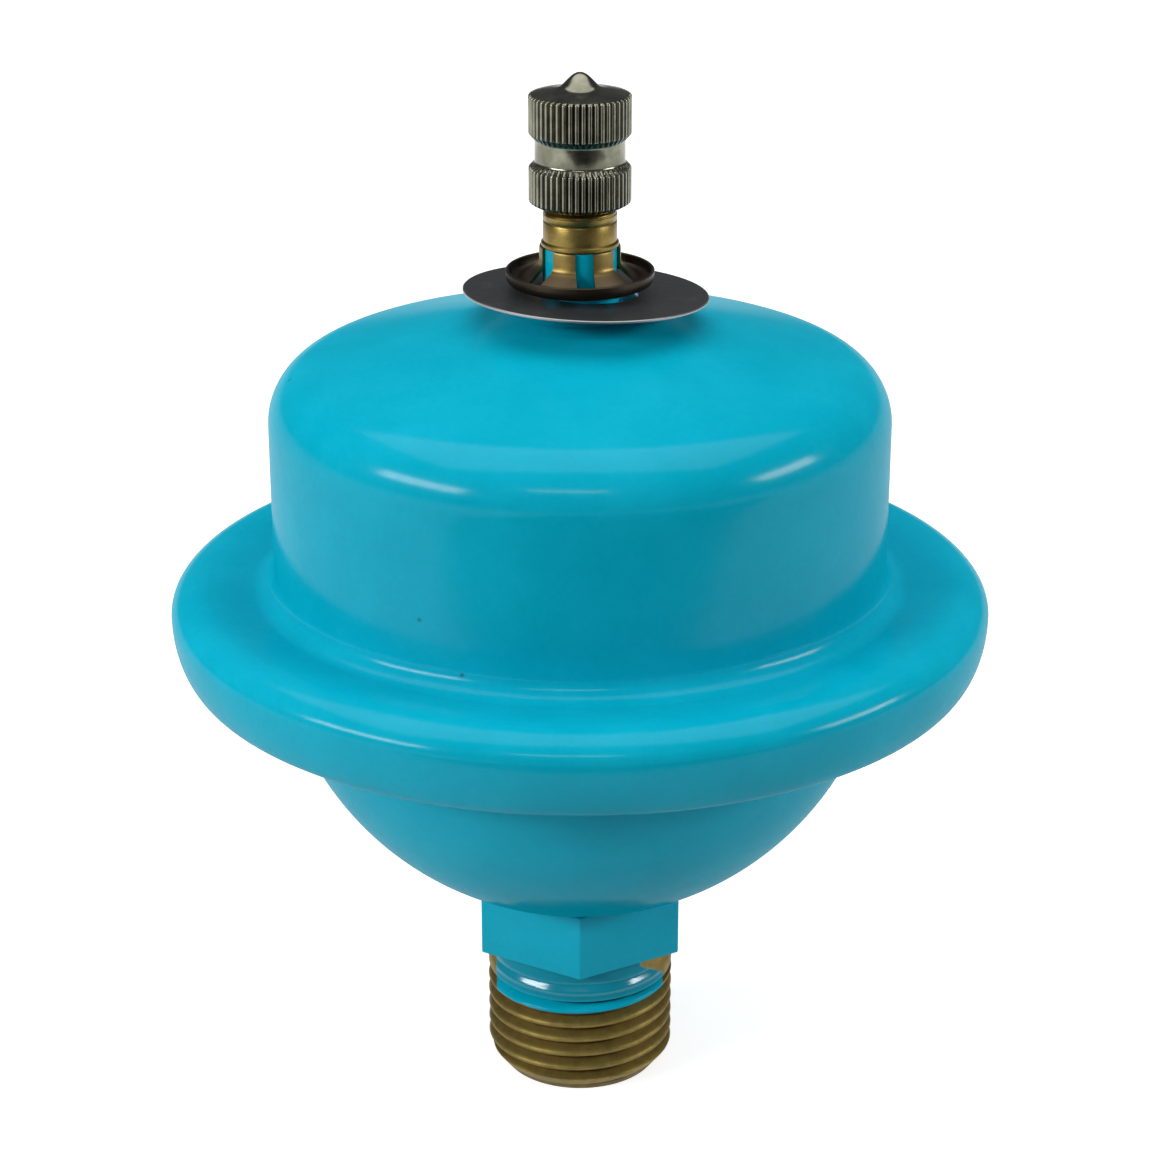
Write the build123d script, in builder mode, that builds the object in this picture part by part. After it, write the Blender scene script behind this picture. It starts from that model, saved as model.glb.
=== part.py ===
# A small water hammer arrestor: two pressed steel shells rolled together at the rim,
# a rubber diaphragm between them, a threaded brass inlet below and an air valve above.
# Millimetres, +Z up. The origin is the centre of the inlet thread's end face.
import os
from math import atan, cos, radians, sin, sqrt, tan

from build123d import *

os.makedirs("parts", exist_ok=True)

# Clearances
touch_gap = 0.02      # between parts that are pressed or brazed together
run_gap = 0.05        # radial play of a screw thread
free_gap = 0.30       # between curved parts that only lie close to each other

# Inlet fitting, G 1/2 male thread, brass. Heights are counted from the end face.
thread_r = 20.955 / 2
thread_h = 11.2
lead_in = 1.72        # how far the end's chamfer goes in
lead_in_h = 2.2
neck_h = 4.93
neck_undercut = 0.5
relief_undercut = 0.45
hex_h = 7.67
hex_flats = 22.0
inlet_bore_r = 6.5
inlet_bore_chamfer = 0.8
spigot_wall = 2.5
spigot_stand = 2.3    # above the bowl's inner floor

# Support grille, a press fit in the top of the inlet bore
grille_h = 3.0
grille_hole_r = 1.25
grille_pitch_r = 3.9
grille_sink = 0.4

# Pressed sheet of both shells
sheet = 1.5
bowl_r = 33.3
bowl_sink = 2.1       # of the bowl's lowest point into the hexagon's hollow top
wall_step = 0.2       # the upper wall is this much narrower than the bowl
wall_h = 16.7
shoulder_r = 6.3
crown_slope = 14.4

# Rolled rim: the upper sheet curls down round the lower flange
rim_reach = 11.15     # beyond the wall
rim_lift = 1.8        # of the rim's widest line above the bowl's centre
rim_up = 4.1
rim_down = 6.2
rim_round = 5.75      # radial size of the upper round
curl_round = 2.85     # radial size of the lower round
curl_lap = 3.8
web_fillet = 1.7
flange_fillet = 1.0
edge_gap = 0.1

# Rubber diaphragm and the button snapped through its floor
rubber = 1.8
button_head_r = 10.0
button_head_h = 1.6
button_neck_r = 3.0
button_top_r = 5.5
button_top_h = 1.4

# Air valve stem, 8V1 thread (7.7 mm, 32 threads per inch). Heights are above its seat.
flange_r = 7.6
braze_w = 0.6
braze_h = 0.65
flange_h = 1.47
stem_foot_h = 2.88
stem_thread_r = 7.7 / 2
stem_base_step = 0.05
collar_step = 0.25
stem_cyl_step = 0.02
collar_up = 7.42
collar_h = 0.55
ring_up = 10.12
stem_thread_up = 10.82
stem_h = 20.12
core_wall = 1.25
core_thread_h = 6.6
core_bore_r = 2.15

# Valve core
plug_h = 5.6
plug_flat_w = 2.1
plug_flat_h = 2.2
plug_bore_r = 0.8
barrel_r = 1.75
barrel_wall = 0.4
barrel_h = 6.8
ledge_h = 0.6
ledge_r = 0.75
seal_h = 2.0
seal_drop = 2.1
pin_r = 0.45
pin_sink = 0.1
pin_foot_h = 1.8
pin_shoulder_r = 1.15
pin_shoulder_h = 0.6
pin_shoulder_drop = 0.9
spring_wire = 0.32
spring_coils = 6
cup_r = 1.5
cup_h = 1.2
cup_wall = 0.25
cup_drop = 0.25

# Name plate, loose on the stem and lying a little askew
plate_r = 12.95
plate_hole_gap = 1.6
plate_t = 0.3
plate_x = 0.63
plate_up = 2.22
plate_fall_x = 2.3    # degrees, right side lower
plate_rise_y = 2.6    # degrees, front edge raised

# Push-on retainer, a dished spring nut with fingers
nut_t = 0.35
nut_r = 7.8
nut_lip_up = 4.82
nut_lip_h = 1.1
nut_valley_in = 1.3
nut_neck_gap = 0.45
nut_neck_h = 1.6
nut_slot = 1.9
nut_slot_angle = 6.5
nut_fingers = 6

# Valve cap: lower edge, knurled ring, waist, second knurled ring and domed top
cap_up = 11.6
cap_low_r = 4.45
cap_edge_h = 0.52
cap_ring_r = 5.33
cap_ring_h = 3.6
cap_slope_h = 0.8
cap_waist_depth = 0.63
cap_waist_h = 2.1
cap_rise_h = 0.6
cap_roof = 1.85        # from the gasket up to the second ring's upper edge
cap_dome_h = 2.35
cap_dome = (          # shares of the ring's radius and of the dome's height
    (0.93, 0.06),
    (0.71, 0.17),
    (0.53, 0.24),
    (0.41, 0.32),
    (0.34, 0.43),
    (0.29, 0.54),
    (0.23, 0.70),
    (0.17, 0.84),
    (0.09, 0.95),
    (0.03, 1.0),
    (0, 1.0),
)
knurl_count = 48
knurl_depth = 0.22
gasket_h = 1.2

# Values that follow from the ones above
lead_in_r = thread_r - lead_in
relief_r = thread_r - relief_undercut
neck_top_r = thread_r - neck_undercut
hex_bottom_z = thread_h + neck_h
hex_top_z = hex_bottom_z + hex_h
bowl_low_z = hex_top_z - bowl_sink
spigot_r = inlet_bore_r + spigot_wall
spigot_top_z = bowl_low_z + sheet + spigot_stand
bowl_z = bowl_low_z + bowl_r
bowl_in_r = bowl_r - sheet
seat_r = flange_r + braze_w
cyl_r = bowl_r - wall_step
cyl_in_r = cyl_r - sheet
rim_r = cyl_r + rim_reach
rim_mid_z = bowl_z + rim_lift
rim_top_z = rim_mid_z + rim_up
rim_low_z = rim_mid_z - rim_down
rim_top_r = rim_r - rim_round
rim_low_r = rim_r - curl_round
curl_end_r = rim_low_r - curl_lap
curl_in_z = rim_low_z + sheet
flange_top = curl_in_z + sheet
bead_top = rim_top_z - sheet
shoulder_start_z = rim_top_z + wall_h
crown_r = cyl_r - shoulder_r + shoulder_r * sin(radians(crown_slope))
crown_z = shoulder_start_z + shoulder_r * cos(radians(crown_slope))
seat_z = crown_z + (crown_r - seat_r) * tan(radians(crown_slope))
head_z = spigot_top_z
pad_z = head_z + button_head_h
rubber_r = bowl_in_r - free_gap
rubber_in_r = rubber_r - rubber
flange_top_z = seat_z + flange_h
stem_foot_z = seat_z - stem_foot_h
stem_base_r = stem_thread_r + stem_base_step
collar_r = stem_thread_r + collar_step
stem_cyl_r = stem_thread_r + stem_cyl_step
collar_z = seat_z + collar_up
collar_top_z = collar_z + collar_h
stem_ring_z = seat_z + ring_up
stem_thread_z = seat_z + stem_thread_up
stem_top_z = seat_z + stem_h
core_thread_r = stem_thread_r - core_wall
core_thread_z = stem_top_z - core_thread_h
plug_z = core_thread_z + edge_gap
barrel_in_r = barrel_r - barrel_wall
barrel_top_z = plug_z - touch_gap
barrel_z = barrel_top_z - barrel_h
pin_top_z = stem_top_z - pin_sink
plate_hole_r = stem_base_r + plate_hole_gap
plate_z = seat_z + plate_up
nut_lip_z = seat_z + nut_lip_up
nut_valley_z = nut_lip_z - nut_lip_h
nut_valley_r = nut_r - nut_valley_in
nut_neck_r = stem_base_r + nut_neck_gap
nut_neck_z = nut_valley_z + nut_neck_h
cap_low_z = seat_z + cap_up
cap_waist_r = cap_ring_r - cap_waist_depth
ring_low_z = cap_low_z + cap_edge_h
ring_top_z = ring_low_z + cap_ring_h
waist_low_z = ring_top_z + cap_slope_h
waist_top_z = waist_low_z + cap_waist_h
ring2_low_z = waist_top_z + cap_rise_h
cap_ceiling_z = stem_top_z + gasket_h
ring2_top_z = cap_ceiling_z + cap_roof
cap_bore_r = stem_thread_r + run_gap
gasket_r = cap_bore_r - 2 * run_gap


def on_circle(radius, centre_z, z):
    """Radius at height z of a ball of the given radius."""
    return sqrt(radius ** 2 - (z - centre_z) ** 2)


# Brass inlet fitting: male thread as a plain cylinder, neck, hexagon and spigot
with BuildPart() as inlet_fitting:
    with BuildSketch(Plane.XZ):
        with BuildLine():
            Polyline(
                (0, 0),
                (lead_in_r, 0),
                (thread_r, lead_in_h),
                (thread_r, thread_h),
                (relief_r, thread_h + neck_h * 0.04),
                (relief_r, thread_h + neck_h * 0.18),
                (thread_r - run_gap, thread_h + neck_h * 0.26),
                (thread_r - neck_undercut * 0.6, thread_h + neck_h * 0.42),
                (neck_top_r, thread_h + neck_h * 0.68),
                (neck_top_r, hex_bottom_z + hex_h / 10),
                (0, hex_bottom_z + hex_h / 10),
                close=True,
            )
        make_face()
    revolve(axis=Axis.Z)
    with BuildSketch(Plane.XY.offset(hex_bottom_z)):
        RegularPolygon(hex_flats / 2, 6, major_radius=False, rotation=30)
    extrude(amount=hex_h)
    with Locations((0, 0, bowl_z)):
        Sphere(bowl_r + touch_gap, mode=Mode.SUBTRACT)
    with BuildSketch(Plane.XY.offset(hex_bottom_z)):
        Circle(spigot_r)
    extrude(amount=spigot_top_z - hex_bottom_z)
    with BuildSketch(Plane.XY):
        Circle(inlet_bore_r)
    extrude(amount=spigot_top_z, mode=Mode.SUBTRACT)
    mouth = inlet_fitting.edges().filter_by(GeomType.CIRCLE).sort_by(Axis.Z)
    mouth = mouth.filter_by(lambda e: abs(e.radius - inlet_bore_r) < 0.01)[0]
    chamfer(mouth, length=inlet_bore_chamfer)
inlet_fitting.part.label = "inlet_fitting"
export_step(inlet_fitting.part, "parts/inlet_fitting.step")

# Grille that keeps the rubber out of the inlet bore
with BuildPart() as inlet_grille:
    grille_top = spigot_top_z - grille_sink
    with BuildSketch(Plane.XY.offset(grille_top - grille_h)):
        Circle(inlet_bore_r - touch_gap)
        Circle(grille_hole_r, mode=Mode.SUBTRACT)
        with PolarLocations(grille_pitch_r, 6):
            Circle(grille_hole_r, mode=Mode.SUBTRACT)
    extrude(amount=grille_h)
    rim_edge = inlet_grille.edges().filter_by(GeomType.CIRCLE).sort_by(Axis.Z)
    rim_edge = rim_edge.filter_by(lambda e: e.radius > 5)[0]
    chamfer(rim_edge, length=0.4)
inlet_grille.part.label = "inlet_grille"
export_step(inlet_grille.part, "parts/inlet_grille.step")

# Braze fillet inside the bowl, round the spigot
with BuildPart() as inlet_braze_ring:
    braze_in = spigot_r + touch_gap
    braze_out = spigot_r + spigot_stand / 2
    floor_in = bowl_z - on_circle(bowl_in_r, 0, braze_in) + touch_gap
    floor_out = bowl_z - on_circle(bowl_in_r, 0, braze_out) + touch_gap
    with BuildSketch(Plane.XZ):
        with BuildLine():
            Polyline(
                (braze_in, floor_in + 0.12),
                (braze_out, floor_out + 0.05),
                (braze_in, spigot_top_z - 0.15),
                close=True,
            )
        make_face()
    revolve(axis=Axis.Z)
inlet_braze_ring.part.label = "inlet_braze_ring"
export_step(inlet_braze_ring.part, "parts/inlet_braze_ring.step")

# Lower shell: a ball-shaped bowl with a flat flange inside the rolled rim
with BuildPart() as lower_shell:
    hole_r = spigot_r + touch_gap
    hole_out = bowl_z - on_circle(bowl_r, 0, hole_r)
    hole_in = bowl_z - on_circle(bowl_in_r, 0, hole_r)
    bowl_end = on_circle(bowl_r, bowl_z, curl_in_z)
    bowl_end_in = on_circle(bowl_in_r, bowl_z, flange_top)
    flange_edge = rim_low_r - edge_gap
    bowl_mid = radians(50)
    with BuildSketch(Plane.XZ):
        with BuildLine():
            ThreePointArc(
                (hole_r, hole_out),
                (bowl_r * sin(bowl_mid), bowl_z - bowl_r * cos(bowl_mid)),
                (bowl_end, curl_in_z),
            )
            Line((bowl_end, curl_in_z), (flange_edge, curl_in_z))
            Line((flange_edge, curl_in_z), (flange_edge, flange_top))
            Line((flange_edge, flange_top), (bowl_end_in, flange_top))
            ThreePointArc(
                (bowl_end_in, flange_top),
                (bowl_in_r * sin(bowl_mid), bowl_z - bowl_in_r * cos(bowl_mid)),
                (hole_r, hole_in),
            )
            Line((hole_r, hole_in), (hole_r, hole_out))
        make_face()
    revolve(axis=Axis.Z)
    rings = lower_shell.edges().filter_by(GeomType.CIRCLE)
    web = rings.filter_by(lambda e: abs(e.radius - bowl_end) < 0.01)
    fillet(web, radius=flange_fillet)
    rings = lower_shell.edges().filter_by(GeomType.CIRCLE)
    lip = rings.filter_by(lambda e: abs(e.radius - bowl_end_in) < 0.01)
    bend_r = flange_fillet + sheet
    fillet(lip, radius=bend_r)
    rings = lower_shell.edges().filter_by(GeomType.CIRCLE)
    edge = rings.filter_by(lambda e: abs(e.radius - flange_edge) < 0.01)
    edge = edge.sort_by(Axis.Z)[-1]
    fillet(edge, radius=0.7)
lower_shell.part.label = "lower_shell"
export_step(lower_shell.part, "parts/lower_shell.step")

# Upper shell: crown, shoulder, wall and the rim that curls round the flange
with BuildPart() as upper_shell:
    turn = radians(crown_slope)
    half = radians((90 + crown_slope) / 2)
    arc_r = cyl_r - shoulder_r
    inner_r = shoulder_r - sheet
    hole_r = stem_base_r + touch_gap
    with BuildSketch(Plane.XZ):
        with BuildLine():
            Line((hole_r, seat_z), (seat_r, seat_z))
            Line((seat_r, seat_z), (crown_r, crown_z))
            ThreePointArc(
                (crown_r, crown_z),
                (arc_r + shoulder_r * cos(half), shoulder_start_z + shoulder_r * sin(half)),
                (cyl_r, shoulder_start_z),
            )
            Line((cyl_r, shoulder_start_z), (cyl_r, rim_top_z))
            Line((cyl_r, rim_top_z), (rim_top_r, rim_top_z))
            EllipticalCenterArc(
                (rim_top_r, rim_mid_z),
                rim_r - rim_top_r,
                rim_top_z - rim_mid_z,
                start_angle=0,
                arc_size=90,
            )
            EllipticalCenterArc(
                (rim_low_r, rim_mid_z),
                rim_r - rim_low_r,
                rim_mid_z - rim_low_z,
                start_angle=270,
                arc_size=90,
            )
            Line((rim_low_r, rim_low_z), (curl_end_r, rim_low_z))
            Line((curl_end_r, rim_low_z), (curl_end_r, curl_in_z))
            Line((curl_end_r, curl_in_z), (rim_low_r, curl_in_z))
            EllipticalCenterArc(
                (rim_low_r, rim_mid_z),
                rim_r - rim_low_r - sheet,
                rim_mid_z - curl_in_z,
                start_angle=270,
                arc_size=90,
            )
            EllipticalCenterArc(
                (rim_top_r, rim_mid_z),
                rim_r - rim_top_r - sheet,
                bead_top - rim_mid_z,
                start_angle=0,
                arc_size=90,
            )
            Line((rim_top_r, bead_top), (cyl_in_r, bead_top))
            Line((cyl_in_r, bead_top), (cyl_in_r, shoulder_start_z))
            ThreePointArc(
                (cyl_in_r, shoulder_start_z),
                (arc_r + inner_r * cos(half), shoulder_start_z + inner_r * sin(half)),
                (arc_r + inner_r * sin(turn), shoulder_start_z + inner_r * cos(turn)),
            )
            Line(
                (arc_r + inner_r * sin(turn), shoulder_start_z + inner_r * cos(turn)),
                (seat_r, seat_z - sheet / cos(turn)),
            )
            Line((seat_r, seat_z - sheet / cos(turn)), (hole_r, seat_z - sheet))
            Line((hole_r, seat_z - sheet), (hole_r, seat_z))
        make_face()
    revolve(axis=Axis.Z)
    rings = upper_shell.edges().filter_by(GeomType.CIRCLE)
    web = rings.filter_by(lambda e: abs(e.radius - cyl_r) < 0.01).sort_by(Axis.Z)[0]
    fillet(web, radius=web_fillet)
    rings = upper_shell.edges().filter_by(GeomType.CIRCLE)
    lip = rings.filter_by(lambda e: abs(e.radius - cyl_in_r) < 0.01).sort_by(Axis.Z)[0]
    fillet(lip, radius=web_fillet + sheet)
    rings = upper_shell.edges().filter_by(GeomType.CIRCLE)
    end = rings.filter_by(lambda e: abs(e.radius - curl_end_r) < 0.01).sort_by(Axis.Z)[0]
    fillet(end, radius=0.6)
upper_shell.part.label = "upper_shell"
export_step(upper_shell.part, "parts/upper_shell.step")

# Rubber diaphragm: a cup that lies in the bowl, with a bead held in the rim
with BuildPart() as diaphragm:
    cup_foot_r = on_circle(rubber_r, bowl_z, pad_z)
    floor_top = pad_z + rubber
    cup_foot_in = on_circle(rubber_in_r, bowl_z, floor_top)
    bend_x = bowl_end_in + bend_r
    bend_z = flange_top - bend_r
    bend_mid = (bend_r + free_gap) * sin(radians(45))
    web_r = on_circle(rubber_r, bowl_z, bend_z)
    bead_in_r = cyl_in_r - 1.9
    bead_out_r = flange_edge - 0.4
    bead_low = flange_top + touch_gap
    bead_high = bead_top - touch_gap
    cup_mid = radians(60)
    with BuildSketch(Plane.XZ):
        with BuildLine():
            Line((button_neck_r + touch_gap, pad_z + touch_gap), (cup_foot_r, pad_z + touch_gap))
            ThreePointArc(
                (cup_foot_r, pad_z + touch_gap),
                (rubber_r * sin(cup_mid), bowl_z - rubber_r * cos(cup_mid)),
                (web_r, bend_z),
            )
            ThreePointArc(
                (web_r, bend_z),
                (bend_x - bend_mid, bend_z + bend_mid),
                (bend_x + 0.3, bead_low),
            )
            Line((bend_x + 0.3, bead_low), (bead_out_r, bead_low))
            Line((bead_out_r, bead_low), (bead_out_r, bead_high - 2.6))
            Line((bead_out_r, bead_high - 2.6), (rim_top_r - 0.2, bead_high))
            Line((rim_top_r - 0.2, bead_high), (cyl_in_r + 3.4, bead_high))
            Line((cyl_in_r + 3.4, bead_high), (bead_in_r, bead_high - 3.6))
            Line((bead_in_r, bead_high - 3.6), (rubber_in_r, bowl_z))
            ThreePointArc(
                (rubber_in_r, bowl_z),
                (rubber_in_r * sin(cup_mid), bowl_z - rubber_in_r * cos(cup_mid)),
                (cup_foot_in, floor_top),
            )
            Line((cup_foot_in, floor_top), (button_neck_r + touch_gap, floor_top))
            Line(
                (button_neck_r + touch_gap, floor_top),
                (button_neck_r + touch_gap, pad_z + touch_gap),
            )
        make_face()
    revolve(axis=Axis.Z)
diaphragm.part.label = "diaphragm"
export_step(diaphragm.part, "parts/diaphragm.step")

# Button that closes the inlet when the water side is empty
with BuildPart() as diaphragm_button:
    with BuildSketch(Plane.XZ):
        with BuildLine():
            Polyline(
                (0, head_z),
                (button_head_r - 0.5, head_z),
                (button_head_r, head_z + 0.5),
                (button_head_r, pad_z),
                (button_neck_r, pad_z),
                (button_neck_r, floor_top + touch_gap),
                (button_top_r, floor_top + touch_gap),
                (button_top_r, floor_top + 0.6),
                (button_top_r - 1.6, floor_top + button_top_h),
                (0, floor_top + button_top_h),
                close=True,
            )
        make_face()
    revolve(axis=Axis.Z)
diaphragm_button.part.label = "diaphragm_button"
export_step(diaphragm_button.part, "parts/diaphragm_button.step")

# Brass valve stem: foot flange, base, collar, cylinder and 8V1 thread
with BuildPart() as valve_stem:
    with BuildSketch(Plane.XZ):
        with BuildLine():
            Polyline(
                (core_bore_r, stem_foot_z),
                (stem_base_r - 0.3, stem_foot_z),
                (stem_base_r, stem_foot_z + 0.3),
                (stem_base_r, seat_z + touch_gap),
                (flange_r, seat_z + touch_gap),
                (flange_r, flange_top_z - 0.4),
                (flange_r - 0.4, flange_top_z),
                (stem_base_r, flange_top_z),
                (stem_base_r, collar_z),
                (collar_r, collar_z + 0.12),
                (collar_r, collar_top_z - 0.12),
                (stem_cyl_r, collar_top_z),
                (stem_cyl_r, stem_ring_z - 0.1),
                (stem_cyl_r - 0.1, stem_ring_z),
                (stem_cyl_r, stem_ring_z + 0.1),
                (stem_cyl_r, stem_thread_z - 0.1),
                (stem_thread_r, stem_thread_z),
                (stem_thread_r, stem_top_z - 0.5),
                (stem_thread_r - 0.5, stem_top_z),
                (core_thread_r + 0.2, stem_top_z),
                (core_thread_r, stem_top_z - 0.2),
                (core_thread_r, core_thread_z),
                (core_bore_r, core_thread_z - 0.6),
                close=True,
            )
        make_face()
    revolve(axis=Axis.Z)
valve_stem.part.label = "valve_stem"
export_step(valve_stem.part, "parts/valve_stem.step")

# Braze fillet round the foot of the valve stem
with BuildPart() as valve_braze_ring:
    with BuildSketch(Plane.XZ):
        with BuildLine():
            Polyline(
                (flange_r + touch_gap, seat_z + touch_gap),
                (seat_r, seat_z + touch_gap),
                (flange_r + touch_gap, seat_z + braze_h),
                close=True,
            )
        make_face()
    revolve(axis=Axis.Z)
valve_braze_ring.part.label = "valve_braze_ring"
export_step(valve_braze_ring.part, "parts/valve_braze_ring.step")

# Valve core: threaded plug, barrel with a seal ring, sprung pin and its seat
with BuildPart() as core_plug:
    with BuildSketch(Plane.XY.offset(plug_z)):
        Circle(core_thread_r - run_gap)
        Circle(plug_bore_r, mode=Mode.SUBTRACT)
    extrude(amount=plug_h)
    with BuildSketch(Plane.XY.offset(plug_z + plug_h - plug_flat_h)):
        with Locations((core_thread_r, 0), (-core_thread_r, 0)):
            Rectangle(plug_flat_w, 2 * core_thread_r)
    extrude(amount=plug_flat_h, mode=Mode.SUBTRACT)
core_plug.part.label = "core_plug"
export_step(core_plug.part, "parts/core_plug.step")

with BuildPart() as core_barrel:
    with BuildSketch(Plane.XZ):
        with BuildLine():
            Polyline(
                (ledge_r, barrel_z),
                (barrel_r, barrel_z),
                (barrel_r, barrel_top_z),
                (barrel_in_r, barrel_top_z),
                (barrel_in_r, barrel_z + ledge_h),
                (ledge_r, barrel_z + ledge_h),
                close=True,
            )
        make_face()
    revolve(axis=Axis.Z)
core_barrel.part.label = "core_barrel"
export_step(core_barrel.part, "parts/core_barrel.step")

with BuildPart() as core_barrel_seal:
    with BuildSketch(Plane.XY.offset(barrel_top_z - seal_drop - seal_h)):
        Circle(core_bore_r - touch_gap)
        Circle(barrel_r + touch_gap, mode=Mode.SUBTRACT)
    extrude(amount=seal_h)
core_barrel_seal.part.label = "core_barrel_seal"
export_step(core_barrel_seal.part, "parts/core_barrel_seal.step")

with BuildPart() as core_pin:
    shoulder_z = barrel_top_z - pin_shoulder_drop
    cup_top_z = barrel_z - cup_drop
    pin_foot_z = barrel_z - pin_foot_h
    with BuildSketch(Plane.XY.offset(pin_foot_z)):
        Circle(pin_r)
    extrude(amount=pin_top_z - pin_foot_z)
    with BuildSketch(Plane.XY.offset(shoulder_z)):
        Circle(pin_shoulder_r)
    extrude(amount=pin_shoulder_h)
core_pin.part.label = "core_pin"
export_step(core_pin.part, "parts/core_pin.step")

with BuildPart() as core_seat_cup:
    cup_z = cup_top_z - cup_h
    with BuildSketch(Plane.XY.offset(cup_z)):
        Circle(cup_r)
        Circle(pin_r + touch_gap, mode=Mode.SUBTRACT)
    extrude(amount=cup_h)
    with BuildSketch(Plane.XY.offset(cup_z + cup_wall)):
        Circle(cup_r - cup_wall)
    extrude(amount=cup_h, mode=Mode.SUBTRACT)
core_seat_cup.part.label = "core_seat_cup"
export_step(core_seat_cup.part, "parts/core_seat_cup.step")

with BuildPart() as core_seat_rubber:
    with BuildSketch(Plane.XY.offset(cup_z + cup_wall + touch_gap)):
        Circle(cup_r - cup_wall - touch_gap)
        Circle(pin_r + touch_gap, mode=Mode.SUBTRACT)
    extrude(amount=barrel_z - cup_z - cup_wall - touch_gap)
core_seat_rubber.part.label = "core_seat_rubber"
export_step(core_seat_rubber.part, "parts/core_seat_rubber.step")

# Spring between the barrel's ledge and the pin's shoulder
with BuildPart() as core_spring:
    spring_z = barrel_z + ledge_h + spring_wire / 2 + touch_gap
    spring_h = shoulder_z - spring_z - spring_wire / 2 - touch_gap
    spring_r = (barrel_in_r + pin_r) / 2
    with BuildLine(Plane.XY.offset(spring_z)) as coil:
        Helix(pitch=spring_h / spring_coils, height=spring_h, radius=spring_r)
    with BuildSketch(Plane(origin=coil.line @ 0, z_dir=coil.line % 0)):
        Circle(spring_wire / 2)
    sweep(path=coil.line)
core_spring.part.label = "core_spring"
export_step(core_spring.part, "parts/core_spring.step")

# Name plate: a loose thin disc, askew on the stem
plate_normal = Vector(tan(radians(plate_fall_x)), tan(radians(plate_rise_y)), 1).normalized()
plate_plane = Plane(origin=(plate_x, 0, plate_z), z_dir=plate_normal)
with BuildPart() as name_plate:
    with BuildSketch(plate_plane.offset(-plate_t / 2)):
        Circle(plate_r)
        Circle(plate_hole_r, mode=Mode.SUBTRACT)
    extrude(amount=plate_t)
name_plate.part.label = "name_plate"
export_step(name_plate.part, "parts/name_plate.step")

# Push-on retainer: upturned lip, valley, cone and six fingers on the stem
with BuildPart() as retainer:
    finger_r = stem_base_r + touch_gap
    cone_turn = atan((nut_neck_z - nut_valley_z) / (nut_valley_r - nut_neck_r))
    cone_t = nut_t / cos(cone_turn)
    with BuildSketch(Plane.XZ):
        with BuildLine():
            Polyline(
                (nut_r, nut_lip_z),
                (nut_r - nut_t, nut_lip_z),
                (nut_r - nut_t * 1.3, nut_valley_z + nut_lip_h * 0.3),
                (nut_valley_r, nut_valley_z),
                (nut_neck_r, nut_neck_z),
                (finger_r + nut_t, nut_neck_z + nut_neck_h * 0.2),
                (finger_r + nut_t, collar_z - nut_t * 0.5),
                (finger_r + nut_t * 0.35, collar_z - touch_gap),
                (finger_r, collar_z - touch_gap),
                (finger_r, nut_neck_z - touch_gap),
                (nut_neck_r - nut_t * 0.3, nut_neck_z - cone_t),
                (nut_valley_r, nut_valley_z - cone_t),
                (nut_r - nut_t, nut_valley_z - nut_t * 0.4),
                (nut_r, nut_valley_z + nut_lip_h * 0.35),
                close=True,
            )
        make_face()
    revolve(axis=Axis.Z)
    reach = nut_valley_r - nut_t * 1.5
    with BuildSketch(Plane.XY.offset(nut_valley_z - nut_lip_h)):
        for i in range(nut_fingers):
            spot = nut_slot_angle - 90 + 360 / nut_fingers * i
            with Locations(Rot(0, 0, spot)):
                with Locations((reach / 2, 0)):
                    Rectangle(reach, nut_slot)
    extrude(amount=collar_z - nut_valley_z + nut_lip_h, mode=Mode.SUBTRACT)
retainer.part.label = "retainer"
export_step(retainer.part, "parts/retainer.step")

# Valve cap: bored for the 8V1 thread, two straight-knurled rings, domed top
with BuildPart() as valve_cap:
    ring_edge = knurl_depth / 2
    with BuildSketch(Plane.XZ):
        with BuildLine():
            Polyline(
                (cap_bore_r + (cap_low_r - cap_bore_r) / 2, cap_low_z),
                (cap_low_r, cap_low_z),
                (cap_ring_r - ring_edge, ring_low_z),
                (cap_ring_r, ring_low_z + ring_edge),
                (cap_ring_r, ring_top_z - ring_edge),
                (cap_ring_r - ring_edge, ring_top_z),
                (cap_waist_r, waist_low_z - 2 * ring_edge),
                (cap_waist_r, waist_top_z),
                (cap_ring_r - ring_edge, ring2_low_z),
                (cap_ring_r, ring2_low_z + ring_edge),
                (cap_ring_r, ring2_top_z),
                *[(cap_ring_r * r, ring2_top_z + cap_dome_h * h) for r, h in cap_dome],
                (0, cap_ceiling_z),
                (cap_bore_r, cap_ceiling_z),
                (cap_bore_r, cap_low_z + (cap_low_r - cap_bore_r) / 2),
                close=True,
            )
        make_face()
    revolve(axis=Axis.Z)
    for low, high in ((ring_low_z, ring_top_z), (ring2_low_z, ring2_top_z)):
        with BuildSketch(Plane.XY.offset(low - ring_edge)):
            with PolarLocations(cap_ring_r, knurl_count):
                Rectangle(knurl_depth * 1.4, knurl_depth * 1.4, rotation=45)
        extrude(amount=high - low + 2 * ring_edge, mode=Mode.SUBTRACT)
valve_cap.part.label = "valve_cap"
export_step(valve_cap.part, "parts/valve_cap.step")

# Gasket in the cap, seated on the stem's end
with BuildPart() as cap_gasket:
    with BuildSketch(Plane.XY.offset(stem_top_z)):
        Circle(gasket_r)
    extrude(amount=gasket_h)
cap_gasket.part.label = "cap_gasket"
export_step(cap_gasket.part, "parts/cap_gasket.step")
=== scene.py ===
# %% [markdown]
# # A small water hammer arrestor
# The real object is a painted steel vessel with a brass pipe thread below and an air
# valve above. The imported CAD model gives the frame. This lesson replaces the parts that
# show with finely turned meshes, and gives every part a procedural finish.

from math import atan2, cos, hypot, pi, radians, sin, sqrt, tan

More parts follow.
